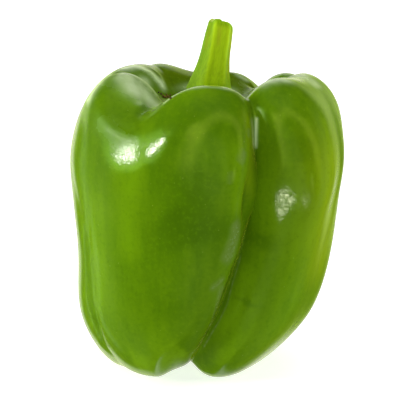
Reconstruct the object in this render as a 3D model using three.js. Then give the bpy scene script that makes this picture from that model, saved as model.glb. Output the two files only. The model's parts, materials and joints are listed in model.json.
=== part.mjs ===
// A green bell pepper, standing upright on its lobes: the pod, and the cut stalk with its calyx.
// Millimetres, +Z up. The pepper stands on z = 0, centred over the origin, and its front faces -Y.
import * as THREE from "three";

const TURN = 2 * Math.PI;

// The pod's meridian before its lobes are formed, from the blossom end underneath, up the wall, over the
// shoulder and down into the hollow that holds the stalk. Each point is [distance from the axis, height].
const MERIDIAN = [
  [0, 7],
  [6, 6.3],
  [13, 2.4],
  [19.5, 0],
  [25.7, 1.9],
  [34, 10.9],
  [39.7, 22],
  [42.5, 40],
  [45.3, 58],
  [46.8, 72],
  [44, 86.1],
  [38.2, 94.9],
  [29.9, 99.5],
  [21.6, 96.9],
  [18, 92.2],
  [15.3, 88.3],
  [8, 87],
  [0, 86.6],
];

// The rows of the pod's mesh, and how much closer together they lie at the two ends than halfway up.
const ROWS = 48;
const CROWDING = 0.4;

// Where a lobe's numbers are given, as shares of the meridian's length: the foot that it stands on, low on
// the wall, high on the wall, and the crest of its shoulder. Over the shares of FADE they fade out.
const STATIONS = [0.15, 0.36, 0.6, 0.78];
const FADE = [0.82, 0.935];

// A lobe or crease is pushed out or in along the meridian's normal, evened out over this share either way.
const EVEN = 0.05;

// Within this distance of the axis nothing is pushed sideways, so that the skin closes at both poles, and the
// distance between two angles is never reckoned on a smaller radius than the second.
const POLE = 3;
const NARROWEST = 8;

// A crease swings from its angle at the foot to its angle at the shoulder between two shares of the meridian.
const SWING = [0.08, 0.5];

// The lobes in order, counter-clockwise seen from above, each with the crease that it starts at. "columns"
// are the columns of its mesh, and "swell" is how far its middle stands out at the four stations. The crease
// has its angle in degrees at the shoulder and at the foot, its depth at the four stations, its width, and
// the roundness of its bottom.
const LOBES = [
  // front right, from the deep groove in front
  { columns: 16, swell: [0.8, 1.5, 3, 1],
    top: 292, foot: 274, depth: [6.5, 10.5, 12.5, 5.5], width: 4, round: 0.8, swing: SWING },
  // right
  { columns: 11, swell: [0.5, 1.5, -2.5, 1],
    top: 338, foot: 328, depth: [0, 0, 1.8, 1], width: 9, round: 10, swing: SWING },
  // back right
  { columns: 9, swell: [0, 0, 0, -0.5],
    top: 376, foot: 376, depth: [3, 4, 3.5, 5.5], width: 5.5, round: 2, swing: SWING },
  // back
  { columns: 20, swell: [0.8, 0, 0, -5],
    top: 418, foot: 400, depth: [0, 1, 0, 10], width: 5.5, round: 2.5, swing: SWING },
  // the fold between the back and the back left
  { columns: 5, swell: [0, 0, 0, 0],
    top: 493, foot: 455, depth: [3, 3, 3, 1.5], width: 4.5, round: 1.2, swing: SWING },
  // back left
  { columns: 10, swell: [0, -1.5, -0.5, 0],
    top: 500, foot: 465, depth: [0, 0, 0, 0], width: 3, round: 2, swing: SWING },
  // left
  { columns: 12, swell: [0, 0, -0.5, 5],
    top: 543, foot: 575, depth: [1.2, 1.2, 0.5, 3], width: 5, round: 3, swing: [0.36, 0.68] },
  // front left, from the soft valley in front
  { columns: 15, swell: [-1.5, 0, 0, 1],
    top: 588, foot: 608, depth: [0, 0, 1.5, 9.5], width: 7.5, round: 7, swing: [0.45, 0.8] },
];

// How much closer a lobe's columns lie to its creases than to its middle.
const GATHER = 0.6;

// The lobes' lowest tips are flattened by this much where the pepper stands on them.
const SETTLE = 0.5;

// The pepper leans: below "height" its axis curves away, to this distance at the foot.
const LEAN = { foot: [-9.5, 0], height: 75, power: 1.4 };

// The stalk with its calyx in section, from the middle of its underside out to the calyx's edge and up to the
// cut. Each point is [distance from the stalk's axis, height above the floor of the pod's hollow].
const STALK = [
  [0, 0.35],
  [3.6, 0.35],
  [7.2, 0.35],
  [10.7, 0.35],
  [13.2, 0.35],
  [14.3, 0.9],
  [13.6, 1.7],
  [12, 2.2],
  [10, 3],
  [8.5, 4.2],
  [7.5, 5.6],
  [6.8, 7.4],
  [6.2, 9.4],
  [5.6, 12],
  [5, 15],
  [4.6, 18],
  [4.3, 21.5],
  [3.9, 25],
  [3.7, 27.2],
  [3.3, 27.6],
  [0, 27.3],
];
const STALK_COLUMNS = 48;

// Below the first height of "follow" the calyx lies on the pod's skin, and above the second the stalk is
// straight. Its edge is scalloped by the share "teeth", more and more between the two distances of "edge".
const CALYX = { follow: [1.8, 6.5], teeth: 0.07, edge: [8, 14] };

// The straight part of the stalk: its axis at the hollow's floor and its lean in millimetres a millimetre,
// its ribs, and its slanting cut, as the fall of the cut face to the right and to the back.
const AXIS = { x: -2.4, y: 0, floor: 86.5, lean: 0.2 };
const RIBS = { count: 6, angle: -109, height: 0.06, start: [3, 8] };
const CUT = { right: 0.4, back: 0.2, start: [14, 27] };

// The pod's axis stands here, so that the whole pepper is centred over the origin.
const POD_AXIS = [1.4, -0.1];

const radians = THREE.MathUtils.degToRad;
const smooth = (from, to, x) => THREE.MathUtils.smoothstep(x, from, to);
const mix = THREE.MathUtils.lerp;

const meridianCurve = () => new THREE.SplineCurve(MERIDIAN.map(([r, z]) => new THREE.Vector2(r, z)));

// A number given at the four stations, at a share of the way along the meridian.
function along(values, share) {
  let value = values[0];
  for (let i = 1; i < STATIONS.length; i++) {
    value += (values[i] - values[i - 1]) * smooth(STATIONS[i - 1], STATIONS[i], share);
  }
  return value * smooth(0, STATIONS[0], share) * (1 - smooth(FADE[0], FADE[1], share));
}

// The angle of crease number "index", counted on past a full turn either way.
function creaseAngle(index, share) {
  const turns = Math.floor(index / LOBES.length);
  const lobe = LOBES[index - turns * LOBES.length];
  return mix(lobe.foot, lobe.top, smooth(lobe.swing[0], lobe.swing[1], share)) + 360 * turns;
}

// How deep the creases near a lobe cut the skin at an angle.
function depthOfCreases(index, angle, share, radius) {
  let depth = 0;
  for (let k = index - 2; k <= index + 3; k++) {
    const lobe = LOBES[THREE.MathUtils.euclideanModulo(k, LOBES.length)];
    const distance = radians(angle - creaseAngle(k, share)) * Math.max(radius, NARROWEST);
    const away = Math.hypot(distance, lobe.round) - lobe.round;
    depth += along(lobe.depth, share) * Math.exp(-away / lobe.width);
  }
  return depth;
}

// The point of the pod's skin at an angle and a share of the meridian, lifted off the skin by "lift".
function skin(curve, angle, share, lift = 0) {
  const first = creaseAngle(0, share);
  const turned = first + THREE.MathUtils.euclideanModulo(angle - first, 360);
  let index = 0;
  while (index < LOBES.length - 1 && creaseAngle(index + 1, share) <= turned) {
    index++;
  }
  const start = creaseAngle(index, share);
  const across = (turned - start) / (creaseAngle(index + 1, share) - start);
  const base = curve.getPointAt(share);
  const before = curve.getPointAt(Math.max(0, share - EVEN));
  const tangent = curve.getPointAt(Math.min(1, share + EVEN)).sub(before).normalize();
  const swell = along(LOBES[index].swell, share) * Math.sin(Math.PI * across) ** 2;
  const push = lift + swell - depthOfCreases(index, turned, share, base.x);
  const radius = base.x + tangent.y * push * smooth(0, POLE, base.x);
  const height = Math.max(0, base.y - tangent.x * push - SETTLE);
  const lean = Math.max(0, 1 - height / LEAN.height) ** LEAN.power;
  return new THREE.Vector3(
    radius * Math.cos(radians(turned)) + LEAN.foot[0] * lean,
    radius * Math.sin(radians(turned)) + LEAN.foot[1] * lean,
    height,
  );
}

// A lathe geometry whose vertex in column c and row r is moved to point(c, r).
function movedLathe(points, columns, point) {
  const geometry = new THREE.LatheGeometry(points, columns);
  const position = geometry.getAttribute("position");
  for (let c = 0; c <= columns; c++) {
    for (let r = 0; r < points.length; r++) {
      const { x, y, z } = point(c % columns, r);
      position.setXYZ(c * points.length + r, x, y, z);
    }
  }
  return geometry;
}

// Where a column of the pod stands: its lobe and the share of the way across it.
function place(column) {
  let index = 0;
  while (column >= LOBES[index].columns) {
    column -= LOBES[index].columns;
    index++;
  }
  const share = column / LOBES[index].columns;
  return [index, share - (GATHER * Math.sin(TURN * share)) / TURN];
}

// The pod as one closed skin, with its rows closer together at both ends.
function podGeometry() {
  const curve = meridianCurve();
  const columns = LOBES.reduce((sum, lobe) => sum + lobe.columns, 0);
  const points = curve.getSpacedPoints(ROWS);
  return movedLathe(points, columns, (c, r) => {
    const [index, across] = place(c);
    const even = r / ROWS;
    const share = even - (CROWDING * Math.sin(TURN * even)) / TURN;
    return skin(curve, mix(creaseAngle(index, share), creaseAngle(index + 1, share), across), share);
  });
}

// A point of the stalk's straight part.
function straight(angle, radius, height) {
  const wave = Math.cos(RIBS.count * radians(angle - RIBS.angle));
  const rib = 1 + RIBS.height * wave * smooth(...RIBS.start, height);
  const x = radius * rib * Math.cos(radians(angle));
  const y = radius * rib * Math.sin(radians(angle));
  const fall = (CUT.right * x + CUT.back * y) * smooth(...CUT.start, height);
  return new THREE.Vector3(AXIS.x + AXIS.lean * height + x, AXIS.y + y, AXIS.floor + height - fall);
}

// The stalk and its calyx as one closed skin.
function stalkGeometry() {
  const curve = meridianCurve();
  const length = curve.getLength();
  const points = STALK.map(([r, z]) => new THREE.Vector2(r, z));
  return movedLathe(points, STALK_COLUMNS, (c, r) => {
    const angle = (360 * c) / STALK_COLUMNS;
    const [radius, height] = STALK[r];
    const wave = Math.cos(RIBS.count * radians(angle - RIBS.angle));
    const tooth = CALYX.teeth * wave * smooth(...CALYX.edge, radius);
    const onSkin = skin(curve, angle, 1 - (radius * (1 + tooth)) / length, height);
    return onSkin.lerp(straight(angle, radius, height), smooth(...CALYX.follow, height));
  });
}

function mesh(name, geometry, color, roughness) {
  const result = new THREE.Mesh(geometry, new THREE.MeshStandardMaterial({ color, roughness, metalness: 0 }));
  result.name = name;
  return result;
}

const pepper = new THREE.Group();
pepper.position.set(POD_AXIS[0], POD_AXIS[1], 0);
pepper.add(mesh("pod", podGeometry(), 0x4f8208, 0.25));
pepper.add(mesh("stalk", stalkGeometry(), 0x8cb414, 0.5));

export default pepper;
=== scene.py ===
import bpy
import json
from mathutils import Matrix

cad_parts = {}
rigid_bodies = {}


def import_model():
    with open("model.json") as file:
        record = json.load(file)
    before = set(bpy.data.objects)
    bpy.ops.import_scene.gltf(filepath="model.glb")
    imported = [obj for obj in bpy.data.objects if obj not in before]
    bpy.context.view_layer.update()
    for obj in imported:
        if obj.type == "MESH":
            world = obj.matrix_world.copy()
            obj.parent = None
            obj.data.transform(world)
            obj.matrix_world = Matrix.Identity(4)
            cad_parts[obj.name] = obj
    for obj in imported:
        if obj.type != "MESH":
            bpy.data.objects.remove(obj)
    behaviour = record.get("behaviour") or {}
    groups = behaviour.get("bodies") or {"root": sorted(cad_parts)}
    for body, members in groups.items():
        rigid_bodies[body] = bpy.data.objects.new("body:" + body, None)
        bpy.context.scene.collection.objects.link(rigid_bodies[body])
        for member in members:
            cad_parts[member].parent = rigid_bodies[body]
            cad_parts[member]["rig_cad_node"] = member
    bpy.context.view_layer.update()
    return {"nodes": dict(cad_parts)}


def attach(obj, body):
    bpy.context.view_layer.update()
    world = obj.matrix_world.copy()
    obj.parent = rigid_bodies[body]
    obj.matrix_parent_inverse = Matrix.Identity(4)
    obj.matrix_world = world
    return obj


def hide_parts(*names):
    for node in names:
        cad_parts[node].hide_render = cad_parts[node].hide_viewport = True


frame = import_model()

import json
import math

import bpy
import numpy as np
from mathutils import Vector, noise
from mathutils.bvhtree import BVHTree

# A green bell pepper: the glossy pod on its lobes, and the cut stalk with its calyx. Metres, +Z up.

# The camera stands where the photograph was taken from, and looks at the middle of the picture.
cameraView = {
    "target": (-0.00247, 0.0, 0.0551),
    "elevation": 12,       # degrees above the horizon
    "distance": 0.6,
    "sensor": 36,          # millimetres
    "lens": 163.14,
    "clip": (0.02, 20),
}
pictureSize = 400          # the photograph's side in pixels


def cameraDirections():
    rise = math.radians(cameraView["elevation"])
    ahead = Vector((0, math.cos(rise), -math.sin(rise)))
    across = Vector((1, 0, 0))
    return ahead, across, across.cross(ahead)


def cameraEye():
    return Vector(cameraView["target"]) - cameraView["distance"] * cameraDirections()[0]


def makeCamera():
    ahead, _, _ = cameraDirections()
    data = bpy.data.cameras.new("camera")
    data.sensor_width = cameraView["sensor"]
    data.lens = cameraView["lens"]
    data.clip_start, data.clip_end = cameraView["clip"]
    camera = bpy.data.objects.new("camera", data)
    camera.location = cameraEye()
    camera.rotation_euler = ahead.to_track_quat("-Z", "Y").to_euler()
    bpy.context.scene.collection.objects.link(camera)
    bpy.context.scene.camera = camera
    print("camera stands at", [round(value, 4) for value in camera.location])


# The unit vector to [azimuth, elevation] in degrees: azimuth from the camera's side to the right.
def towards(angles):
    turn, rise = (math.radians(angle) for angle in angles)
    return Vector((math.sin(turn) * math.cos(rise), -math.cos(turn) * math.cos(rise), math.sin(rise)))


# The turn that points a thing's own Z in a direction.
def facing(direction):
    return direction.to_track_quat("Z", "Y").to_euler()


# Work on a piece as by hand: one object active, everything else left alone.
def deselectAll():
    if bpy.context.mode != "OBJECT":
        bpy.ops.object.mode_set(mode="OBJECT")
    bpy.ops.object.select_all(action="DESELECT")


def workOn(piece):
    deselectAll()
    piece.select_set(True)
    bpy.context.view_layer.objects.active = piece


def applyModifier(piece, kind, settings):
    workOn(piece)
    bpy.ops.object.modifier_add(type=kind)
    modifier = piece.modifiers[-1]
    for name, value in settings.items():
        setattr(modifier, name, value)
    bpy.ops.object.modifier_apply(modifier=modifier.name)


def makeFiner(piece, levels):
    applyModifier(piece, "SUBSURF", {"levels": levels, "render_levels": levels})
    workOn(piece)
    bpy.ops.object.shade_smooth()


mergeDistance = 1e-6       # metres


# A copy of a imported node, its loose triangles merged into one skin of quads, then made finer.
def refinedCopy(nodeName, pieceName, levels):
    workOn(frame["nodes"][nodeName])
    bpy.ops.object.duplicate()
    piece = bpy.context.view_layer.objects.active
    piece.name = piece.data.name = pieceName
    piece.parent = None
    del piece["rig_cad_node"]
    bpy.ops.object.mode_set(mode="EDIT")
    bpy.ops.mesh.select_all(action="SELECT")
    bpy.ops.mesh.remove_doubles(threshold=mergeDistance)
    bpy.ops.mesh.tris_convert_to_quads(face_threshold=math.pi, shape_threshold=math.pi)
    bpy.ops.object.mode_set(mode="OBJECT")
    print(pieceName, "quads:", sum(len(face.vertices) == 4 for face in piece.data.polygons),
          "triangles:", sum(len(face.vertices) == 3 for face in piece.data.polygons))
    makeFiner(piece, levels)
    return piece


def vertexValues(piece, name):
    values = np.zeros(len(piece.data.vertices) * 3)
    piece.data.vertices.foreach_get(name, values)
    return values.reshape(-1, 3)


def getPoints(piece):
    return vertexValues(piece, "co")


def getNormals(piece):
    return vertexValues(piece, "normal")


def setPoints(piece, points):
    piece.data.vertices.foreach_set("co", points.ravel())
    piece.data.update()


# How far each point lies from a place, seen from above, in millimetres.
def distanceFrom(points, place):
    return np.hypot(points[:, 0] - place[0], points[:, 1] - place[1]) * 1000


# Rises in a straight line from 0 at "low" to 1 at "high".
def fade(values, low, high):
    return np.clip((values - low) / (high - low), 0, 1)


# The shader maths. A Wire is an output socket, and the operators on it add Math nodes.
class Wire:
    def __init__(self, shader, socket):
        self.shader = shader
        self.socket = socket

    def math(self, operation, *others):
        return self.shader.math(operation, self, *others)

    def __add__(self, other):
        return self.math("ADD", other)

    def __radd__(self, other):
        return self.math("ADD", other)

    def __sub__(self, other):
        return self.math("SUBTRACT", other)

    def __rsub__(self, other):
        return self.shader.math("SUBTRACT", other, self)

    def __mul__(self, other):
        return self.math("MULTIPLY", other)

    def __rmul__(self, other):
        return self.math("MULTIPLY", other)

    def __truediv__(self, other):
        return self.math("DIVIDE", other)

    def __rtruediv__(self, other):
        return self.shader.math("DIVIDE", other, self)

    def __neg__(self):
        return self.math("MULTIPLY", -1)


noiseMiddle = 0.5          # the value that a noise texture swings about


class Shader:
    def __init__(self, tree):
        self.tree = tree
        tree.nodes.clear()

    def add(self, kind, settings=None, values=None, output=0):
        node = self.tree.nodes.new(kind)
        for name, value in (settings or {}).items():
            setattr(node, name, value)
        for name, value in (values or {}).items():
            if isinstance(value, Wire):
                self.tree.links.new(value.socket, node.inputs[name])
            else:
                node.inputs[name].default_value = value
        return Wire(self, node.outputs[output]) if len(node.outputs) else None

    def math(self, operation, *values):
        return self.add("ShaderNodeMath", {"operation": operation}, dict(enumerate(values)))

    def smooth(self, value, low, high):
        return self.add("ShaderNodeMapRange", {"interpolation_type": "SMOOTHSTEP"},
                        {"Value": value, "From Min": low, "From Max": high})

    def mixColor(self, factor, first, second):
        return self.add("ShaderNodeMix", {"data_type": "RGBA"}, {0: factor, 6: first, 7: second}, 2)

    def noise(self, vector, scale, detail=2, roughness=0.5, distortion=0):
        return self.add("ShaderNodeTexNoise", {"noise_dimensions": "3D"},
                        {"Vector": vector, "Scale": scale, "Detail": detail,
                         "Roughness": roughness, "Distortion": distortion}, "Fac")

    # Places for a noise of scale 1, whose grains have these sizes in millimetres.
    def stretched(self, place, sizes, turn=(0, 0, 0)):
        return self.add("ShaderNodeMapping", {"vector_type": "TEXTURE"},
                        {"Vector": place, "Rotation": turn, "Scale": [size / 1000 for size in sizes]})

    def specks(self, place, gap, edge):
        cells = self.add("ShaderNodeTexVoronoi", values={"Vector": place, "Scale": 1000 / gap})
        return 1 - self.smooth(cells, *edge)

    def attribute(self, name):
        return self.add("ShaderNodeAttribute", {"attribute_name": name}, output="Fac")

    # Lays a look's painted layers over a colour. A pattern adds to the least strength of each.
    def layers(self, color, look, pattern):
        for name, least, gain in look["layers"]:
            color = self.mixColor(self.attribute(name) * (least + gain * pattern), color, look[name])
        return color

    def surface(self, values):
        skin = self.add("ShaderNodeBsdfPrincipled", values=values)
        self.add("ShaderNodeOutputMaterial", values={"Surface": skin})


def newMaterial(name):
    material = bpy.data.materials.new(name)
    material.use_nodes = True
    return material, Shader(material.node_tree)


def useMaterial(piece, material):
    piece.data.materials.clear()
    piece.data.materials.append(material)


# Studio: a white backdrop behind, a dark room in front, a tall softbox on the left with its bulb shining
# through, and dimmer lights in front and on the right. Angles are azimuth and elevation, as for "towards".
studio = {
    "room": (0.03, 0.035, 0.01),
    "backdrop": (1, 1, 1),
    "diffuse": (0, 0, 0),              # the lamps alone light the colours
    "backdropEdge": {"left": -167, "right": 162, "soft": 10, "top": 42},
    "windows": {
        "softbox": {"azimuth": (-90, -56), "elevation": (4, 34), "soft": 2.5, "color": (1.9, 3.8, 0.5)},
        "sideStrip": {"azimuth": (-130, -119), "elevation": (-45, 20), "soft": 5,
                      "color": (0.35, 0.5, 0.25)},
        "leftUpper": {"azimuth": (-168, -118), "elevation": (-2, 17), "soft": 4,
                      "color": (1.25, 1.45, 0.8)},
        "leftRim": {"azimuth": (-172, -150), "elevation": (-60, 2), "soft": 5, "color": (0.95, 1, 0.75)},
        "rightShoulder": {"azimuth": (144, 170), "elevation": (-2, 26), "soft": 12,
                          "color": (1.0, 1.2, 0.45)},
        "rightRim": {"azimuth": (152, 165), "elevation": (-30, 25), "soft": 8,
                     "color": (0.4, 0.55, 0.15)},
        "ground": {"azimuth": (-70, 30), "elevation": (-95, -42), "soft": 12, "color": (0.5, 0.8, 0.03)},
    },
    "discs": {
        "frontLeft": {"centre": (-22, 33), "reach": (6, 16), "color": (1.9, 2.3, 0.25)},
        "right": {"centre": (50, -8), "reach": (2, 9), "color": (1.2, 1.4, 0.3)},
        "glow": {"centre": (-70, 22), "reach": (5, 16), "color": (3.3, 4.6, 1.5)},
        "bulb": {"centre": (-70, 22), "reach": (2, 8.5), "color": (45, 47, 39)},
    },
    "arch": {"centre": (25, 2), "reach": (50, 53), "width": 0.32, "fade": 0.2, "color": (1.2, 1.4, 0.16)},
    "lamps": {
        "left": {"from": (-115, 0), "strength": 1.05, "color": (1, 1, 1)},
        "lowerLeft": {"from": (-110, -45), "strength": 0.6, "color": (1, 1, 1)},
        "front": {"from": (0, 0), "strength": 0.5, "color": (1, 1, 1)},
        "right": {"from": (115, 0), "strength": 1.1, "color": (1, 1, 0.95)},
        "lowerRight": {"from": (110, -45), "strength": 0.34, "color": (1, 1, 1)},
        "lowerFront": {"from": (25, -40), "strength": 0.19, "color": (1, 1, 1)},
        "top": {"from": (0, 90), "strength": 0.43, "color": (1, 1, 1)},
    },
    "lampSize": 60,                    # degrees
    "floor": {"size": 6, "color": (0.8, 0.8, 0.8), "glow": 0.75},
}


def mixOver(shader, color, lights):
    for inside, light in lights:
        color = shader.mixColor(inside, color, (*light, 1))
    return color


def makeWorld():
    world = bpy.data.worlds.new("studio")
    bpy.context.scene.world = world
    world.use_nodes = True
    shader = Shader(world.node_tree)
    direction = shader.add("ShaderNodeTexCoord", output="Generated")
    parts = shader.add("ShaderNodeSeparateXYZ", values={"Vector": direction}).socket.node
    x, y, z = (Wire(shader, parts.outputs[name]) for name in ("X", "Y", "Z"))
    degree = 180 / math.pi
    azimuth = shader.math("ARCTAN2", x, -y) * degree
    elevation = shader.math("ARCSINE", z) * degree

    def window(settings):
        inside = 1
        for value, name in ((azimuth, "azimuth"), (elevation, "elevation")):
            low, high = settings[name]
            soft = settings["soft"]
            inside = inside * shader.smooth(value, low - soft, low + soft)
            inside = inside * (1 - shader.smooth(value, high - soft, high + soft))
        return inside

    def disc(settings):
        across = (azimuth - settings["centre"][0]) * math.cos(math.radians(settings["centre"][1]))
        up = elevation - settings["centre"][1]
        return 1 - shader.smooth(shader.math("SQRT", across * across + up * up), *settings["reach"])

    def arch(settings):
        across = (azimuth - settings["centre"][0]) / settings["reach"][0]
        up = (elevation - settings["centre"][1]) / settings["reach"][1]
        ring = shader.math("SQRT", across * across + up * up)
        band = 1 - shader.smooth(shader.math("ABSOLUTE", ring - 1), 0, settings["width"])
        return band * shader.smooth(up, -settings["fade"], settings["fade"])

    edge = studio["backdropEdge"]
    soft = edge["soft"]
    behind = (shader.smooth(azimuth, edge["right"] - soft, edge["right"] + soft)
              + 1 - shader.smooth(azimuth, edge["left"] - soft, edge["left"] + soft))
    behind = behind * (1 - shader.smooth(elevation, edge["top"] - soft, edge["top"] + soft))
    lights = [(behind, studio["backdrop"])]
    lights += [(window(settings), settings["color"]) for settings in studio["windows"].values()]
    lights += [(arch(studio["arch"]), studio["arch"]["color"])]
    lights += [(disc(settings), settings["color"]) for settings in studio["discs"].values()]
    color = mixOver(shader, (*studio["room"], 1), lights)
    rays = shader.add("ShaderNodeLightPath").socket.node
    for ray, light in (("Is Camera Ray", studio["backdrop"]), ("Is Diffuse Ray", studio["diffuse"])):
        color = shader.mixColor(Wire(shader, rays.outputs[ray]), color, (*light, 1))
    background = shader.add("ShaderNodeBackground", values={"Color": color})
    shader.add("ShaderNodeOutputWorld", values={"Surface": background})


# The soft lamps light the colours and aren't seen in the gloss.
def makeLamps():
    for name, settings in studio["lamps"].items():
        place = towards(settings["from"])
        deselectAll()
        bpy.ops.object.light_add(type="SUN", location=place, rotation=facing(place))
        lamp = bpy.context.view_layer.objects.active
        lamp.name = name + "Lamp"
        lamp.data.energy = math.pi * settings["strength"]
        lamp.data.color = settings["color"]
        lamp.data.angle = math.radians(studio["lampSize"])
        lamp.visible_glossy = False
    print("studio made", len(studio["windows"]), "windows", len(studio["lamps"]), "lamps")


def makeFloor():
    settings = studio["floor"]
    deselectAll()
    bpy.ops.mesh.primitive_plane_add(size=settings["size"], location=(0, 0, 0))
    floor = bpy.context.view_layer.objects.active
    floor.name = floor.data.name = "floor"
    material, shader = newMaterial("paleFloor")
    bright = shader.add("ShaderNodeEmission", values={"Color": (1, 1, 1, 1), "Strength": settings["glow"]})
    matte = shader.add("ShaderNodeBsdfDiffuse", values={"Color": (*settings["color"], 1)})
    both = shader.add("ShaderNodeAddShader", values={0: bright, 1: matte})
    shader.add("ShaderNodeOutputMaterial", values={"Surface": both})
    useMaterial(floor, material)
    floor.visible_glossy = False
    floor.visible_diffuse = False
    floor.visible_shadow = False


# A stroke follows pixels of the photograph, which are thrown onto the piece that they show.
# "width" is its half width in millimetres, and over "taper" of its length it fades out at either end.
strokeTaper = 0.25         # where a stroke names none
strokeReach = 3.2          # widths, beyond which a stroke isn't felt


def throwPixels(tree, pixels):
    ahead, across, up = cameraDirections()
    focal = cameraView["lens"] / cameraView["sensor"] * pictureSize
    found = []
    for x, y in pixels:
        ray = ahead + ((x - pictureSize / 2) * across - (y - pictureSize / 2) * up) / focal
        hit = tree.ray_cast(cameraEye(), ray.normalized())[0]
        if hit is not None:
            found.append(hit)
    return found


def alongPixels(corners, step=1.5):
    pixels = []
    for (x0, y0), (x1, y1) in zip(corners, corners[1:]):
        count = max(1, round(math.hypot(x1 - x0, y1 - y0) / step))
        pixels += [(x0 + (x1 - x0) * k / count, y0 + (y1 - y0) * k / count) for k in range(count)]
    return pixels + [corners[-1]]


def skinTree(piece):
    return BVHTree.FromObject(piece, bpy.context.evaluated_depsgraph_get())


# How strongly a stroke touches each point, and the nearest place on the stroke to it.
def reachOf(points, tree, stroke):
    line = np.array(throwPixels(tree, alongPixels(stroke["pixels"])))
    width = stroke["width"] / 1000
    weights, nearestSpot = np.zeros(len(points)), np.zeros(len(points), int)
    reach = strokeReach * width
    near = np.all((points > line.min(0) - reach) & (points < line.max(0) + reach), axis=1)
    place = points[near]
    nearest, which = np.full(len(place), np.inf), np.zeros(len(place), int)
    for index, spot in enumerate(line):
        away = ((place - spot) ** 2).sum(1)
        closer = away < nearest
        nearest[closer] = away[closer]
        which[closer] = index
    ends = np.ones(len(place))
    taper = stroke.get("taper", strokeTaper)
    if len(line) > 1 and taper:
        share = which / (len(line) - 1)
        ends = np.clip(np.minimum(share, 1 - share) / taper, 0, 1)
        ends = ends * ends * (3 - 2 * ends)
    weights[near] = np.exp(-nearest / (2 * width * width)) * ends
    nearestSpot[near] = which
    return weights, line, nearestSpot


# Raises the skin by "height" millimetres along each stroke, or presses it in.
def strokesLift(points, tree, strokes):
    return sum(reachOf(points, tree, stroke)[0] * stroke["height"] / 1000 for stroke in strokes.values())


# The skin's direction at a spot, evened out over "size" in metres.
def normalAt(points, normals, spot, size=0.0007):
    weights = np.exp(-((points - np.array(spot)) ** 2).sum(1) / (2 * size * size))
    return Vector((normals * weights[:, None]).sum(0)).normalized()


# Flattens the skin along each stroke by the share "share". No skin counts as steeper than "steepest".
def facetsLift(points, normals, tree, strokes, steepest=0.2):
    lift = np.zeros(len(points))
    for stroke in strokes.values():
        weights, line, which = reachOf(points, tree, stroke)
        planes = np.array([normalAt(points, normals, spot) for spot in line])[which]
        slope = np.maximum((normals * planes).sum(1), steepest)
        height = ((points - line[which]) * planes).sum(1) / slope
        lift -= stroke["share"] * weights * height
    return lift


# Soft seeded waves over the whole skin, [size, height] in millimetres each.
def wavesLift(points, waves, seed):
    lift = np.zeros(len(points))
    for size, height in waves:
        for index, point in enumerate(points):
            lift[index] += noise.noise(Vector(point) * 1000 / size + Vector(seed)) * height / 1000
    return lift


def paint(piece, name, values):
    layer = piece.data.attributes.new(name, "FLOAT", "POINT")
    layer.data.foreach_set("value", np.clip(values, 0, 1).astype(np.float32))


def paintStrokes(piece, name, tree, strokes):
    points = getPoints(piece)
    total = sum(reachOf(points, tree, stroke)[0] * stroke["strength"] for stroke in strokes.values())
    paint(piece, name, total)


# How deep each point lies under its surroundings, in millimetres, by relaxing the skin a number of times.
def depthUnder(piece, rounds):
    points, normals = getPoints(piece), getNormals(piece)
    ends = np.zeros(len(piece.data.edges) * 2, int)
    piece.data.edges.foreach_get("vertices", ends)
    first, second = ends.reshape(-1, 2).T
    count = np.bincount(ends, minlength=len(points))
    smooth = points
    for _ in range(rounds):
        sums = [np.bincount(first, values[second], len(points))
                + np.bincount(second, values[first], len(points)) for values in smooth.T]
        smooth = np.stack(sums, axis=1) / count[:, None]
    return ((smooth - points) * normals).sum(1) * 1000


# The pod. The skin has a thin lip along the slit below the groove.
lipPixels = [(243, 248), (238.5, 265), (232.5, 284), (227.5, 303.5), (220.5, 319), (211, 334.5),
             (199.5, 355)]
podShape = {
    "levels": 2,
    "strokes": {
        "heartTop": {"pixels": [(139.5, 129.5)], "width": 4.9, "height": 1.0},
        "heartLeftTop": {"pixels": [(123, 131)], "width": 3.1, "height": 0.58},
        "heartDent": {"pixels": [(120.5, 151)], "width": 3.7, "height": -0.6},
        "heartCorner": {"pixels": [(110.5, 128.5)], "width": 2.0, "height": 0.48},
        "heartEdge": {"pixels": [(106, 121)], "width": 2.6, "height": 0.33},
        "heartRight": {"pixels": [(164.5, 142)], "width": 2.3, "height": 0.27},
        "heartFoot": {"pixels": [(149, 157.5)], "width": 2.5, "height": 0.23},
        "backRidge": {"pixels": [(137, 67), (150, 74), (160, 84), (166, 94)], "width": 1.3,
                      "height": 0.4},
        "backFold": {"pixels": [(150, 66), (159, 76), (165, 88)], "width": 0.7, "height": 0.3},
        "flankFurrow": {"pixels": [(88, 190), (89, 250), (92, 300), (104, 345), (122, 364)], "width": 1.0,
                        "height": -0.25},
        "flankRidge": {"pixels": [(84, 190), (84, 250), (87, 300), (100, 345), (118, 361)], "width": 0.8,
                       "height": 0.12},
        "lip": {"pixels": lipPixels, "width": 0.5, "height": 0.15},
        "slit": {"pixels": [(238, 252), (229, 280), (219, 307), (207, 333), (196, 352)], "width": 0.7,
                 "height": -0.4},
        "upperGlint": {"pixels": [(256, 117), (256.5, 147)], "width": 0.4, "height": 0.3, "taper": 0.1},
        "lowerGlint": {"pixels": [(253.5, 180), (254, 202)], "width": 0.4, "height": 0.3, "taper": 0.1},
    },
    "facets": {
        "cluster": {"pixels": [(285, 200)], "width": 6, "share": 1},
        "tail": {"pixels": [(306, 199)], "width": 2.4, "share": 0.8},
    },
    "waves": [(17, 0.14), (6, 0.02)],
    "seed": (11, 5, 8),
    "foldRounds": 60,
    "foldDepth": (0.05, 0.6),          # millimetres under the surroundings, over which the painted crease shade grows
}

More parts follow.
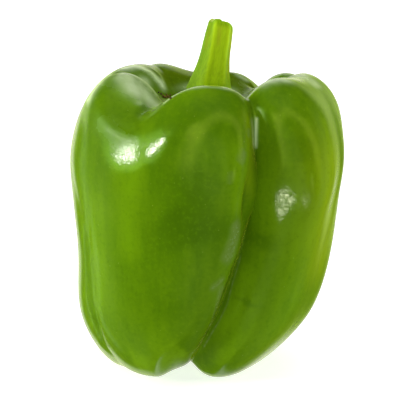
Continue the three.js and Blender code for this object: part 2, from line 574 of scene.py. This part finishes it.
# Lamps that are mirrored at one pixel, and shine only on the skin round it. The radius is in millimetres,
# the cone's half angle in degrees, and the distance in metres.
glints = {
    "cluster": {"pixel": (285, 200), "radius": 4.5, "cone": 4.5, "glow": 45, "color": (1, 1, 0.7)},
    "tail": {"pixel": (306, 200), "radius": 4, "cone": 3, "glow": 25, "color": (1, 1, 0.6)},
    "slopeLow": {"pixel": (149, 97), "radius": 4, "cone": 3, "glow": 14, "color": (1, 1, 0.9)},
    "slope": {"pixel": (132, 87), "radius": 6, "cone": 5, "glow": 17, "color": (1, 1, 0.9)},
    "heart": {"pixel": (122.5, 151), "radius": 2.2, "cone": 4, "glow": 62, "color": (1, 1, 1)},
}
glintLamp = {"distance": 0.05, "blend": 0.6, "evenedOver": 0.002}

# The pod's painted layers, each made of strokes.
podPaint = {
    "deep": {                          # the darkest green, partly painted shade
        "middle": {"pixels": [(165, 205), (188, 230), (196, 252)], "width": 6, "strength": 0.7},
        "upper": {"pixels": [(205, 165), (192, 185), (180, 200)], "width": 5, "strength": 0.35},
        # Painted shade: inside the arch on the right lobe, beside the groove and in the slit below it.
        "underArch": {"pixels": [(297, 132), (300, 165)], "width": 4, "strength": 0.3},
        "besideGroove": {"pixels": [(260, 104), (261, 150), (261, 200)], "width": 1.6, "strength": 0.15},
        "belowGroove": {"pixels": [(262, 232), (258, 250)], "width": 3.5, "strength": 0.5},
        "low": {"pixels": [(248, 300), (246, 306)], "width": 3.5, "strength": 0.45},
        "slit": {"pixels": [(239, 248), (230, 278), (219, 305), (207, 332), (195, 353)], "width": 0.9,
                 "strength": 1, "taper": 0.1},
    },
    "olive": {                         # yellowish green, and painted light on the groove's edge
        "rightWall": {"pixels": [(334, 115), (330, 180), (324, 250), (304, 300)], "width": 9,
                      "strength": 0.75},
        # Painted light on the rim of the groove.
        "grooveEdge": {"pixels": [(240, 100), (249, 125), (252, 160), (250, 205)], "width": 1.8,
                       "strength": 0.55},
    },
    "hazeAndReflection": {                          # painted grey-green reflection on a duller film by the groove
        "wide": {"pixels": [(239, 212), (236, 235), (229, 255), (223, 270)], "width": 2.2, "strength": 1},
        "narrow": {"pixels": [(224, 282), (219, 300), (211, 325), (200, 345), (187, 359)], "width": 1.1,
                   "strength": 0.9, "taper": 0.1},
        "hook": {"pixels": [(222, 280), (213, 288)], "width": 1, "strength": 0.7, "taper": 0},
        "upper": {"pixels": [(246, 146), (242, 158), (238, 166)], "width": 1.8, "strength": 0.8},
        "side": {"pixels": [(233, 168), (230, 178), (230, 188)], "width": 1.2, "strength": 0.7},
        "top": {"pixels": [(249, 126), (249, 140)], "width": 1, "strength": 0.9},
        # The lip's thin lighter line is a painted highlight.
        "lip": {"pixels": lipPixels, "width": 0.35, "strength": 0.9, "taper": 0.1},
    },
    "crinkle": {                       # where the skin is finely wrinkled
        "cluster": {"pixels": [(285, 202)], "width": 3.2, "strength": 1},
        "tail": {"pixels": [(296, 202), (318, 196)], "width": 2.5, "strength": 0.8, "taper": 0},
        "heart": {"pixels": [(112, 160), (130, 148), (160, 145)], "width": 3.5, "strength": 0.5,
                  "taper": 0},
    },
    "bloom": {                         # where the wax is dull
        "cluster": {"pixels": [(285, 202)], "width": 3.5, "strength": 0.25},
        "tail": {"pixels": [(306, 199)], "width": 2.5, "strength": 0.4},
        "slope": {"pixels": [(104, 76), (118, 78), (136, 88), (156, 103)], "width": 3.2, "strength": 1.2,
                  "taper": 0},
        "back": {"pixels": [(134, 67), (150, 74), (160, 84), (166, 94)], "width": 2, "strength": 0.7},
        "crest": {"pixels": [(165, 92), (190, 86), (215, 84), (235, 90), (245, 98)], "width": 2,
                  "strength": 0.5},
        "heart": {"pixels": [(112, 158), (124, 150)], "width": 3, "strength": 0.15, "taper": 0},
        "heartTop": {"pixels": [(134, 141)], "width": 2, "strength": 0.8},
        "rightTop": {"pixels": [(286, 77), (295, 76.5), (304, 78)], "width": 1.5, "strength": 0.9,
                     "taper": 0},
        "corner": {"pixels": [(104, 124), (112, 131), (119, 138)], "width": 2.2, "strength": 1.1,
                   "taper": 0},
        "grooveTop": {"pixels": [(241, 82), (248, 91)], "width": 1.6, "strength": 0.7, "taper": 0},
        "valley": {"pixels": [(143, 115), (152, 108)], "width": 2.2, "strength": 0.5, "taper": 0},
    },
    "hollowShade": {                        # painted shade on the walls of the hollow
        "wall": {"pixels": [(165, 76), (180, 74), (200, 76)], "width": 6, "strength": 1, "taper": 0},
        "rightWall": {"pixels": [(236, 74), (243, 82), (250, 92)], "width": 5, "strength": 1, "taper": 0},
    },
    "paintedHighlight": {                           # painted highlights: pale rims, slopes and a glint down the groove
        "grooveTop": {"pixels": [(256.5, 116), (256, 132), (256.2, 148)], "width": 0.35, "strength": 1.2,
                      "taper": 0.1},
        "groove": {"pixels": [(257, 180), (257.3, 203)], "width": 0.3, "strength": 1.1, "taper": 0.1},
        "slope": {"pixels": [(104, 75), (118, 77), (136, 86), (154, 100)], "width": 2, "strength": 0.4},
        "slopeLow": {"pixels": [(132, 88), (143, 93), (153, 103)], "width": 2.2, "strength": 0.8,
                     "taper": 0},
        "slopeEdge": {"pixels": [(118, 73.5), (134, 76), (145, 81), (153, 89), (159, 97)], "width": 1.7,
                      "strength": 0.8, "taper": 0.05},
        "backRim": {"pixels": [(117, 70), (133, 66), (146, 67)], "width": 1.1, "strength": 1.1},
        "back": {"pixels": [(136, 66), (150, 73), (160, 83), (166, 94)], "width": 1.1, "strength": 1.2},
        "shoulder": {"pixels": [(86, 104), (94, 90), (104, 78), (114, 73)], "width": 1.5, "strength": 0.9,
                     "taper": 0.1},
        "hollowRim": {"pixels": [(232, 71.5), (240, 76), (246, 79.5), (250, 83)], "width": 0.7,
                      "strength": 0.7},
        "crest": {"pixels": [(168, 91), (190, 86), (215, 84), (235, 90), (243, 96)], "width": 0.9,
                  "strength": 0.45},
        "rightCrest": {"pixels": [(256, 90), (268, 82), (280, 79.5), (296, 81)], "width": 1.6,
                       "strength": 0.65},
        "rightTop": {"pixels": [(288, 76), (300, 75.5), (312, 81), (321, 91)], "width": 2,
                     "strength": 0.9},
        "rightBack": {"pixels": [(264, 80), (272, 76), (282, 74)], "width": 0.9, "strength": 0.6},
    },
    "bright": {                        # lighter green, much of it painted light
        # Painted light round the heart highlight, on the crest, slope and right flank, and beside the
        # slit.
        "leftWall": {"pixels": [(97, 175), (96, 230), (100, 290), (108, 330)], "width": 6,
                     "strength": 0.7},
        "streak": {"pixels": [(130, 168), (128, 210), (130, 275)], "width": 3, "strength": 0.75},
        "right": {"pixels": [(292, 180), (290, 240), (270, 300), (245, 340), (230, 362)], "width": 8,
                  "strength": 0.45},
        "slope": {"pixels": [(112, 84), (130, 98), (145, 108)], "width": 4, "strength": 0.8},
        "besideSlit": {"pixels": [(250, 255), (243, 280), (235, 303), (226, 322), (214, 342)],
                       "width": 2.2, "strength": 0.7},
        "foot": {"pixels": [(130, 360), (155, 366), (188, 350)], "width": 5, "strength": 0.8,
                 "taper": 0.1},
        "flankRight": {"pixels": [(236, 130), (239, 180), (238, 225)], "width": 4.5, "strength": 0.7},
        "aboveHeart": {"pixels": [(116, 127), (138, 128), (160, 127)], "width": 3.5, "strength": 0.5},
        "belowHeart": {"pixels": [(106, 168), (128, 172), (152, 169)], "width": 4, "strength": 0.6},
        "crestLeft": {"pixels": [(150, 92), (175, 92), (200, 90), (225, 92)], "width": 3,
                      "strength": 0.6},
    },
}
# The scar underneath: its size in millimetres, its place and greatest height in metres.
blossomScar = {"place": (-0.0081, -0.0001), "size": 1.7, "under": 0.012}
podLook = {
    "scar": (0.2, 0.12, 0.04, 1),
    "bright": (0.157, 0.32, 0.003, 1),
    "plain": (0.106, 0.23, 0.002, 1),
    "dim": (0.082, 0.19, 0.0015, 1),
    "deep": (0.052, 0.13, 0.001, 1),
    "olive": (0.24, 0.36, 0.003, 1),
    # painted grey-green reflection
    "hazeAndReflection": (0.145, 0.25, 0.035, 1),
    # painted shade in the hollow
    "hollowShade": (0.085, 0.135, 0.001, 1),
    # painted highlight
    "paintedHighlight": (0.47, 0.61, 0.3, 1),
    # painted shade in the creases
    "creaseShade": (0.045, 0.11, 0.001, 1),
    "speck": (0.34, 0.46, 0.08, 1),
    "patchSize": 24, "streakSize": (3, 3, 26), "mottleSize": 1.3,      # millimetres
    "speckGap": 3.4, "peelSize": 0.9, "wrinkleSize": 2,                # millimetres
    "peelHeight": 0.00001, "wrinkleHeight": 0.00018,                   # metres
    "patchShare": 0.6,                 # the rest of the plain green comes from the streaks
    "plainEdge": (0.4, 0.62),
    # The painted layers in their order, each with its least strength and what the streaks add to it:
    # colour, and painted light and shade.
    "layers": [("bright", 0.7, 0.6), ("olive", 0.6, 0.6), ("deep", 1, 0), ("hollowShade", 0.8, 0),
               ("creaseShade", 0.45, 0)],
    "mottleTones": [("bright", 0.75), ("deep", 0.25)],                 # where the mottling is full
    "mottleAmount": 0.3,
    "highlightLeast": 0.2, "highlightPatches": 0.6,
    "hazePatches": 0.7, "hazeMottle": 0.3, "hazeEdge": (0.2, 0.9), "reflectionAmount": 0.7,
    "speckEdge": (0.03, 0.08), "speckAmount": 0.35,
    "scarMottle": 0.6, "scarEdge": (0.3, 0.6),
    "roughness": (0.1, 0.16), "roughEdge": (0.35, 0.65),
    "hazeRoughness": 0.3,
    "bloomRoughness": 0.42, "bloomLeast": 0.7, "bloomMottle": 0.6,
    "ior": 1.5,
    "sheen": 0.27, "sheenRoughness": 0.3, "sheenTint": (0.85, 1, 0.05, 1),      # the soft pale rim
}


def makePodMaterial():
    look = podLook
    material, shader = newMaterial("podSkin")
    place = shader.add("ShaderNodeTexCoord", output="Object")
    patches = shader.noise(place, 1000 / look["patchSize"], detail=3)
    streaks = shader.noise(shader.stretched(place, look["streakSize"]), 1, detail=3)
    mottle = shader.noise(place, 1000 / look["mottleSize"], detail=4, roughness=0.6)
    plain = patches * look["patchShare"] + streaks * (1 - look["patchShare"])
    color = shader.mixColor(shader.smooth(plain, *look["plainEdge"]), look["dim"], look["plain"])
    # Lays green tones with painted light and shade, and the painted shade of the hollow and creases.
    color = shader.layers(color, look, streaks)
    for name, full in look["mottleTones"]:
        tone = shader.smooth(mottle, noiseMiddle, full) * look["mottleAmount"]
        color = shader.mixColor(tone, color, look[name])
    # Painted highlights: pale reflections on the rims and slopes, and a glint down the groove.
    paintedHighlight = shader.attribute("paintedHighlight") * (look["highlightLeast"] + look["highlightPatches"] * patches + streaks)
    color = shader.mixColor(paintedHighlight, color, look["paintedHighlight"])
    # Painted grey-green reflection beside the groove, which also dulls the gloss there.
    broken = (patches - noiseMiddle) * look["hazePatches"] + (mottle - noiseMiddle) * look["hazeMottle"]
    hazeAndReflection = shader.smooth(shader.attribute("hazeAndReflection") + broken, *look["hazeEdge"])
    color = shader.mixColor(hazeAndReflection * look["reflectionAmount"], color, look["hazeAndReflection"])
    specks = shader.specks(place, look["speckGap"], look["speckEdge"])
    color = shader.mixColor(specks * look["speckAmount"], color, look["speck"])
    scar = shader.attribute("scar") + (mottle - noiseMiddle) * look["scarMottle"]
    color = shader.mixColor(shader.smooth(scar, *look["scarEdge"]), color, look["scar"])
    low, high = look["roughness"]
    rough = low + (high - low) * shader.smooth((mottle + patches) / 2, *look["roughEdge"])
    dull = shader.attribute("bloom") * (look["bloomLeast"] + look["bloomMottle"] * mottle)
    rough = rough + hazeAndReflection * (look["hazeRoughness"] - high) + dull * (look["bloomRoughness"] - high)
    peel = shader.noise(place, 1000 / look["peelSize"])
    wrinkles = shader.noise(place, 1000 / look["wrinkleSize"], detail=3, roughness=0.6, distortion=1.2)
    relief = peel * look["peelHeight"] + wrinkles * shader.attribute("crinkle") * look["wrinkleHeight"]
    bump = shader.add("ShaderNodeBump", values={"Height": relief, "Strength": 1.0, "Distance": 1.0})
    shader.surface({
        "Base Color": color, "Roughness": rough, "IOR": look["ior"], "Normal": bump,
        "Sheen Weight": look["sheen"], "Sheen Roughness": look["sheenRoughness"],
        "Sheen Tint": look["sheenTint"]})
    return material


def makeGlints(piece):
    tree = skinTree(piece)
    points, normals = getPoints(piece), getNormals(piece)
    for name, settings in glints.items():
        spot = throwPixels(tree, [settings["pixel"]])[0]
        back = (spot - cameraEye()).normalized()
        mirrored = back.reflect(normalAt(points, normals, spot, glintLamp["evenedOver"]))
        print(name, "lamp stands at", [round(math.degrees(angle)) for angle in (
            math.atan2(mirrored.x, -mirrored.y), math.asin(mirrored.z))])
        deselectAll()
        bpy.ops.object.light_add(type="SPOT", location=spot + mirrored * glintLamp["distance"],
                                 rotation=facing(mirrored))
        lamp = bpy.context.view_layer.objects.active
        lamp.name = name + "Glint"
        radius = settings["radius"] / 1000
        lamp.data.shadow_soft_size = radius
        lamp.data.spot_size = math.radians(2 * settings["cone"])
        lamp.data.spot_blend = glintLamp["blend"]
        # The power at which a lamp of this radius is as bright as "glow", in the world's own measure.
        lamp.data.energy = settings["glow"] * 4 * math.pi ** 2 * radius ** 2
        lamp.data.color = settings["color"]
        lamp.visible_diffuse = False
        lamp.visible_camera = False


def makePod():
    pod = refinedCopy("pod", "pod_skin", podShape["levels"])
    tree = skinTree(pod)
    points, normals = getPoints(pod), getNormals(pod)
    lift = strokesLift(points, tree, podShape["strokes"])
    lift += facetsLift(points, normals, tree, podShape["facets"])
    lift += wavesLift(points, podShape["waves"], podShape["seed"])
    moved = points + normals * lift[:, None]
    moved[:, 2] = np.maximum(moved[:, 2], 0)       # no wave reaches below the floor
    setPoints(pod, moved)
    for name, strokes in podPaint.items():
        paintStrokes(pod, name, tree, strokes)
    scar = np.exp(-(distanceFrom(points, blossomScar["place"]) / blossomScar["size"]) ** 2 / 2)
    paint(pod, "scar", scar * (points[:, 2] < blossomScar["under"]))
    # Painted shade in the creases, darker the deeper a point lies under its surroundings.
    paint(pod, "creaseShade", fade(depthUnder(pod, podShape["foldRounds"]), *podShape["foldDepth"]))
    makeGlints(pod)
    useMaterial(pod, makePodMaterial())
    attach(pod, "root")
    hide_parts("pod")
    print("pod made", len(pod.data.vertices), "vertices")
    return pod


# The stalk and its calyx.
stalkShape = {
    "levels": 2,
    "strokes": {
        "ridge": {"pixels": [(216, 22), (212, 50), (205, 87)], "width": 0.5, "height": 0.14,
                  "taper": 0.05},
        "rightRidge": {"pixels": [(230, 27), (225, 55), (222, 85)], "width": 0.45, "height": 0.12,
                       "taper": 0.05},
        "leftFurrow": {"pixels": [(212, 25), (207, 52), (198, 86)], "width": 0.5, "height": -0.12,
                       "taper": 0.05},
        "middleRidge": {"pixels": [(221, 24), (218, 52), (213, 87)], "width": 0.7, "height": 0.05,
                        "taper": 0.05},
        "edgeFurrow": {"pixels": [(230, 60), (229, 86)], "width": 0.4, "height": -0.2},
    },
    "rim": {                           # the ragged cut, raised or lowered straight up
        "leftStep": {"pixels": [(210.5, 20.5)], "width": 0.8, "height": -1.8},
        "peak": {"pixels": [(216.5, 21)], "width": 0.7, "height": 1.1},
        "middle": {"pixels": [(221, 23.5)], "width": 0.9, "height": 0.6},
        "right": {"pixels": [(227, 25.5)], "width": 0.9, "height": 0.7},
        "corner": {"pixels": [(231, 28)], "width": 0.8, "height": 1.1},
    },
    "rimRough": (1.1, 0.35),           # size and height of the torn fibres, in millimetres
    "rimDepth": 1.4,                   # millimetres below the cut, over which these fade out
    "waves": [(9, 0.1), (2.2, 0.03)],
    "seed": (2, 9, 4),
}
# Painted layers: lighter ridge lines, the wide middle and right ones painted light; painted shade down the
# left side; brown marks.
stalkPaint = {
    "ridge": {
        "left": {"pixels": [(216, 20), (212, 50), (205, 87)], "width": 0.45, "strength": 1,
                 "taper": 0.05},
        "right": {"pixels": [(229.5, 26), (226, 55), (223, 86)], "width": 0.9, "strength": 1,
                  "taper": 0.05},
        "middle": {"pixels": [(221, 24), (218, 52), (213, 86)], "width": 1.3, "strength": 0.9,
                   "taper": 0.05},
    },
    "shade": {
        "left": {"pixels": [(208, 24), (202, 52), (190, 86)], "width": 1.6, "strength": 0.6, "taper": 0},
    },
    "brown": {
        "edge": {"pixels": [(231.5, 27), (230, 52), (228, 72), (229, 87)], "width": 0.5, "strength": 0.8},
        "middle": {"pixels": [(220, 24), (218, 48)], "width": 0.5, "strength": 0.5},
        "left": {"pixels": [(210, 25), (205, 52)], "width": 0.4, "strength": 0.4},
    },
}
stalkLook = {
    "light": (0.33, 0.55, 0.004, 1),
    "plain": (0.26, 0.46, 0.003, 1),
    "deep": (0.19, 0.36, 0.002, 1),
    "ridge": (0.5, 0.72, 0.008, 1),
    "shade": (0.19, 0.36, 0.002, 1),
    "brown": (0.42, 0.42, 0.02, 1),
    "cut": (0.5, 0.66, 0.08, 1),
    "pith": (0.66, 0.72, 0.34, 1),
    "calyx": (0.12, 0.27, 0.01, 1),
    "dried": (0.2, 0.13, 0.05, 1),
    "fibreSize": (0.3, 0.3, 6), "speckGap": 1.6, "blotchSize": 5,      # millimetres
    "fibreLean": 11,                   # degrees
    "fibreHeight": 0.00008,            # metres
    "fibreShare": 0.75,                # the rest of the light and deep green comes from the blotches
    "lightEdge": (0.4, 0.6),
    "plainEdge": (0.35, 0.6), "plainAmount": 0.35,
    "layers": [("shade", 1, 0), ("ridge", 0.45, 0.6), ("brown", 0.4, 0.8)],        # the fibres add to them
    "speckEdge": (0.05, 0.14), "speckAmount": 0.4,
    "driedFibres": 0.3, "driedEdge": (0.6, 0.95),
    "cutLeast": 0.6, "cutBlotches": 0.4,
    "roughness": (0.42, 0.62),
    "ior": 1.45, "specular": 0.12,
}


def makeStalkMaterial():
    look = stalkLook
    material, shader = newMaterial("stalkSkin")
    place = shader.add("ShaderNodeTexCoord", output="Object")
    along = shader.stretched(place, look["fibreSize"], (0, math.radians(look["fibreLean"]), 0))
    fibres = shader.noise(along, 1, detail=3, roughness=0.6)
    blotches = shader.noise(place, 1000 / look["blotchSize"], detail=3)
    light = fibres * look["fibreShare"] + blotches * (1 - look["fibreShare"])
    color = shader.mixColor(shader.smooth(light, *look["lightEdge"]), look["deep"], look["light"])
    plain = shader.smooth(blotches, *look["plainEdge"])
    color = shader.mixColor(plain * look["plainAmount"], color, look["plain"])
    # Painted shade on the left, ridges lighter partly as painted light, and brown marks.
    color = shader.layers(color, look, fibres)
    specks = shader.specks(place, look["speckGap"], look["speckEdge"])
    color = shader.mixColor(specks * look["speckAmount"], color, look["ridge"])
    color = shader.mixColor(shader.attribute("calyx"), color, look["calyx"])
    edge = shader.smooth(shader.attribute("edge") + look["driedFibres"] * fibres, *look["driedEdge"])
    color = shader.mixColor(edge, color, look["dried"])
    cut = shader.attribute("cut") * (look["cutLeast"] + look["cutBlotches"] * blotches)
    color = shader.mixColor(cut, color, look["cut"])
    color = shader.mixColor(shader.attribute("pith"), color, look["pith"])
    low, high = look["roughness"]
    bump = shader.add("ShaderNodeBump", values={
        "Height": fibres, "Strength": 1.0, "Distance": look["fibreHeight"]})
    shader.surface({
        "Base Color": color, "Roughness": low + (high - low) * fibres, "IOR": look["ior"],
        "Specular IOR Level": look["specular"], "Normal": bump})
    return material


# The middle of the calyx and the height of the hollow's floor are the CAD's, in metres. The cut is what
# faces up so much and lies so far above that floor, and the calyx is what lies below its own height. The
# edges, from the middle outwards, and the pith's size are in millimetres.
stalkAxis = {
    "calyx": (0.0014, -0.0001),
    "floor": 0.0865,
    "cutAbove": 0.02,
    "cutFacing": 0.75,
    "calyxBelow": 0.008,
    "calyxEdge": (7.5, 10.5), "calyxAmount": 0.8,
    "driedEdge": (11, 14.5),
    "pithSize": 1.5,
}


def makeStalk():
    stalk = refinedCopy("stalk", "stalk_skin", stalkShape["levels"])
    tree = skinTree(stalk)
    points, normals = getPoints(stalk), getNormals(stalk)
    shape, axis = stalkShape, stalkAxis
    cut = (normals[:, 2] > axis["cutFacing"]) & (points[:, 2] > axis["floor"] + axis["cutAbove"])
    top = points[cut]
    # The cut face's own plane gives the depth of every point under it.
    plane = np.linalg.lstsq(np.c_[top[:, :2], np.ones(len(top))], top[:, 2], rcond=None)[0]
    under = plane[0] * points[:, 0] + plane[1] * points[:, 1] + plane[2] - points[:, 2]
    nearRim = 1 - fade(under * 1000, 0, shape["rimDepth"])
    rise = strokesLift(points, tree, shape["rim"]) + wavesLift(points, [shape["rimRough"]], shape["seed"])
    lift = strokesLift(points, tree, shape["strokes"]) + wavesLift(points, shape["waves"], shape["seed"])
    moved = points + normals * (lift * (1 - nearRim))[:, None]
    moved[:, 2] = np.minimum(moved[:, 2] + rise * nearRim, points[:, 2].max())
    setPoints(stalk, moved)
    for name, strokes in stalkPaint.items():
        paintStrokes(stalk, name, tree, strokes)
    out = distanceFrom(points, axis["calyx"])
    low = points[:, 2] < axis["floor"] + axis["calyxBelow"]
    paint(stalk, "calyx", low * fade(out, *axis["calyxEdge"]) * axis["calyxAmount"])
    paint(stalk, "edge", low * fade(out, *axis["driedEdge"]))
    paint(stalk, "cut", cut * nearRim)
    inward = distanceFrom(points, top.mean(0)) / axis["pithSize"]
    paint(stalk, "pith", cut * np.exp(-inward ** 2 / 2))
    useMaterial(stalk, makeStalkMaterial())
    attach(stalk, "root")
    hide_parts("stalk")
    print("stalk made", len(stalk.data.vertices), "vertices")


# Dry crumbs of the calyx, which lie on the wall of the hollow beside the stalk.
crumbs = {
    "bits": [                          # pixel, half size in millimetres
        ((158.5, 92.5), (0.35, 0.3, 0.2)),
        ((161, 94), (0.5, 0.4, 0.25)),
        ((163.3, 96.5), (0.45, 0.5, 0.3)),
        ((165.5, 97.5), (0.6, 0.4, 0.3)),
        ((168, 97), (0.55, 0.5, 0.35)),
        ((170, 95.5), (0.4, 0.3, 0.3)),
        ((170.8, 98.5), (0.4, 0.45, 0.3)),
        ((166.5, 94.8), (0.3, 0.35, 0.2)),
    ],
    "lift": 0.6,                       # of the half height, so that the rest is sunk in
    "rough": 0.12,                     # millimetres
    "uneven": 0.6, "outward": 0.3, "seed": 3,
    "levels": 2,
    "brown": (0.2, 0.085, 0.02, 1),
    "dark": (0.035, 0.022, 0.018, 1),
    "pale": (0.34, 0.25, 0.13, 1),
    "brownEdge": (0.4, 0.6),
    "paleEdge": (0.5, 0.75), "paleAmount": 0.7,
    "grainSize": 0.35, "bitSize": 2.2,                                 # millimetres
    "roughness": (0.6, 0.9),
    "grainHeight": 0.00006,            # metres
    "ior": 1.4,
}


def makeCrumbMaterial():
    material, shader = newMaterial("dryCalyx")
    place = shader.add("ShaderNodeTexCoord", output="Object")
    bits = shader.noise(place, 1000 / crumbs["bitSize"], detail=1)
    grain = shader.noise(place, 1000 / crumbs["grainSize"], detail=3, roughness=0.6)
    color = shader.mixColor(shader.smooth(bits, *crumbs["brownEdge"]), crumbs["dark"], crumbs["brown"])
    pale = shader.smooth(grain, *crumbs["paleEdge"]) * crumbs["paleAmount"]
    color = shader.mixColor(pale, color, crumbs["pale"])
    low, high = crumbs["roughness"]
    bump = shader.add("ShaderNodeBump", values={
        "Height": grain, "Strength": 1.0, "Distance": crumbs["grainHeight"]})
    shader.surface({
        "Base Color": color, "Roughness": low + (high - low) * grain, "IOR": crumbs["ior"],
        "Normal": bump})
    return material


def makeCrumbs(pod):
    tree = skinTree(pod)
    bits = []
    for index, (pixel, size) in enumerate(crumbs["bits"]):
        spot = throwPixels(tree, [pixel])[0]
        upright = tree.find_nearest(spot)[1]
        deselectAll()
        bpy.ops.mesh.primitive_ico_sphere_add(
            subdivisions=2, radius=0.001, location=spot + upright * crumbs["lift"] * size[2] / 1000,
            rotation=facing(upright), scale=size)
        bit = bpy.context.view_layer.objects.active
        bpy.ops.object.mode_set(mode="EDIT")
        bpy.ops.mesh.select_all(action="SELECT")
        bpy.ops.transform.vertex_random(offset=crumbs["rough"] / 1000, uniform=crumbs["uneven"],
                                        normal=crumbs["outward"], seed=crumbs["seed"] + index)
        bpy.ops.object.mode_set(mode="OBJECT")
        bits.append(bit)
    deselectAll()
    for bit in bits:
        bit.select_set(True)
    bpy.context.view_layer.objects.active = bits[0]
    bpy.ops.object.join()
    bpy.ops.object.transform_apply(location=True, rotation=True, scale=True)
    pile = bpy.context.view_layer.objects.active
    pile.name = pile.data.name = "calyx_crumbs"
    makeFiner(pile, crumbs["levels"])
    useMaterial(pile, makeCrumbMaterial())
    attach(pile, "root")
    print("crumbs made", len(pile.data.vertices), "vertices")


makeCamera()
makeWorld()
makeLamps()
makeFloor()
pod = makePod()
makeStalk()
makeCrumbs(pod)

# The picture shows the colours as they are.
bpy.context.scene.view_settings.view_transform = "Standard"
